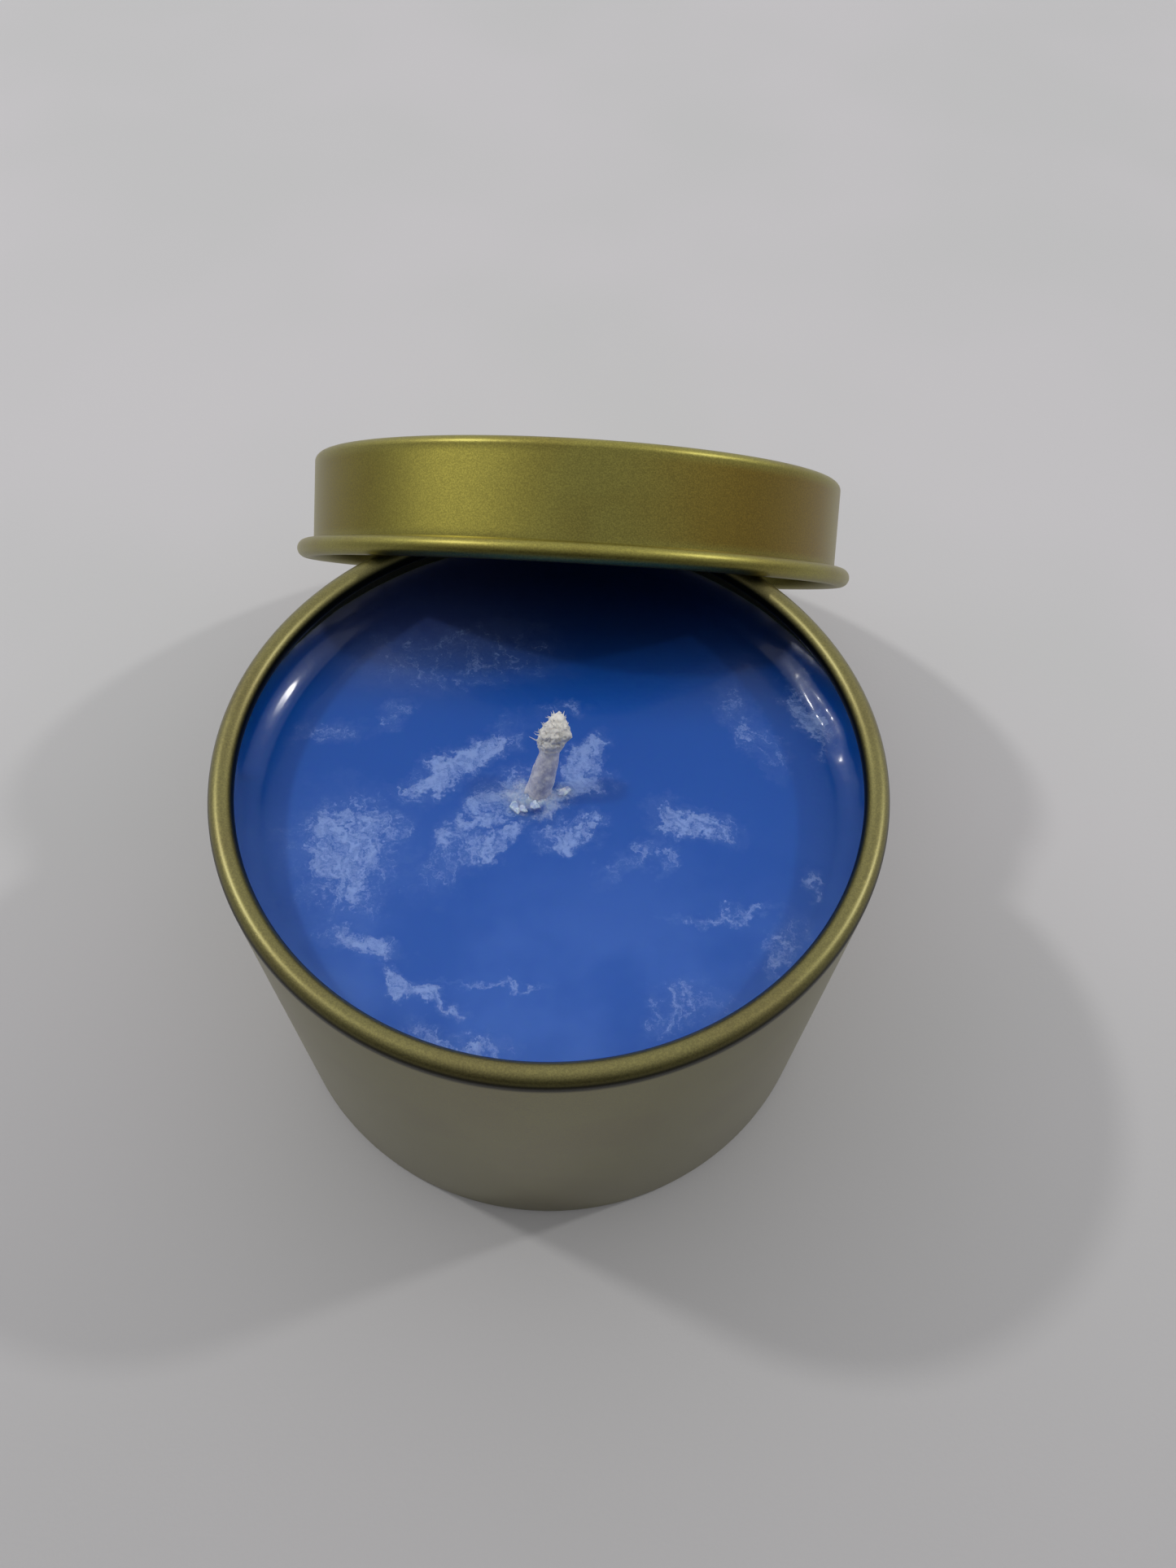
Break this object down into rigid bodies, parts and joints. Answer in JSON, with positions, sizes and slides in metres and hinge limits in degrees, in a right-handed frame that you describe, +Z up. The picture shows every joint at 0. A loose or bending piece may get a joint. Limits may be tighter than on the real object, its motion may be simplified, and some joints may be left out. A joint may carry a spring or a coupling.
{
  "type": "candle tin",
  "caption": "Round gold metal candle tin filled with blue wax and a braided wick, with its slip lid leaning over the back rim.",
  "frame": {"origin": "centre of the tin's base, on the surface that it stands on", "axes": "+Z up along the tin's axis, -Y towards the front of the tin, +Y towards the lid that leans behind it, +X to the right"},
  "size_m": [0.0824, 0.1237, 0.069],
  "materials": {
    "gold_tin": "satin gold lacquer over tinplate",
    "gold_lid": "satin gold lacquer over tinplate, slightly more yellow than the tin",
    "blue_wax": "glossy blue wax with paler frosting in cloudy patches",
    "wick_cotton": "undyed braided cotton, waxed, frayed at the tip",
    "tab_tinplate": "bare tinplate",
    "pad_adhesive": "foam with adhesive on both faces"
  },
  "bodies": {
    "tin": {"tin_body": "gold_tin", "wax_fill": "blue_wax", "wick": "wick_cotton", "wick_tab": "tab_tinplate", "wick_adhesive_pad": "pad_adhesive"},
    "lid": {"lid": "gold_lid"}
  },
  "joints": [
    {"name": "lid_lift", "type": "slide", "parent": "tin", "child": "lid", "axis": [0, 0, 1], "range_m": [0, 0.08]}
  ]
}
